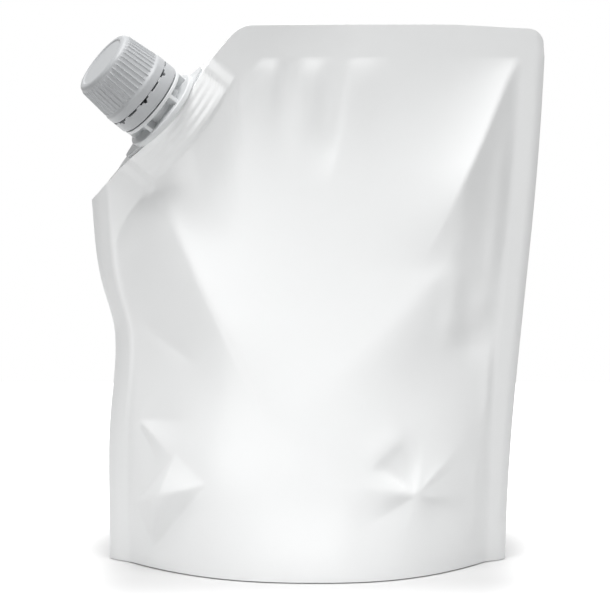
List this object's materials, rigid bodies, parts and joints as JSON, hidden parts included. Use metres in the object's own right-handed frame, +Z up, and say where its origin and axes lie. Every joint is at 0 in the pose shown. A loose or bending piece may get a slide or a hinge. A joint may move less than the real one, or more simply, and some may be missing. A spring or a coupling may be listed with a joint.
{
  "type": "spout pouch",
  "caption": "Filled stand-up film pouch with welded edges, a base gusset and a threaded corner spout, closed by a ribbed screw cap that unscrews and lifts off its neck.",
  "frame": {"origin": "on the floor, at the middle of the flat foot of the base gusset", "axes": "+Z up, front panel facing -Y, spout corner towards -X"},
  "size_m": [0.1683, 0.0688, 0.2001],
  "materials": {
    "film": "satin white laminate film",
    "natural_plastic": "moulded, slightly milky",
    "cap_plastic": "moulded, satin light grey",
    "liner_foam": "smooth closed-cell foam"
  },
  "bodies": {
    "pouch": {"pouch_bag": "film", "spout_fitment": "natural_plastic", "tamper_band": "cap_plastic"},
    "liner": {"cap_liner": "liner_foam"},
    "cap": {"screw_cap": "cap_plastic"}
  },
  "joints": [
    {"name": "liner_lift", "type": "slide", "parent": "pouch", "child": "liner", "axis": [-0.7385, -0.2419, 0.6294], "range_m": [0, 0.008]},
    {"name": "cap_turn", "type": "hinge", "parent": "liner", "child": "cap", "pos_m": [-0.05161, -0.00524, 0.168], "axis": [-0.7385, -0.2419, 0.6294], "range_deg": [0, 720]}
  ],
  "couplings": [
    {"joint": "liner_lift", "follows": "cap_turn", "m_per_rad": 0.00063662}
  ]
}
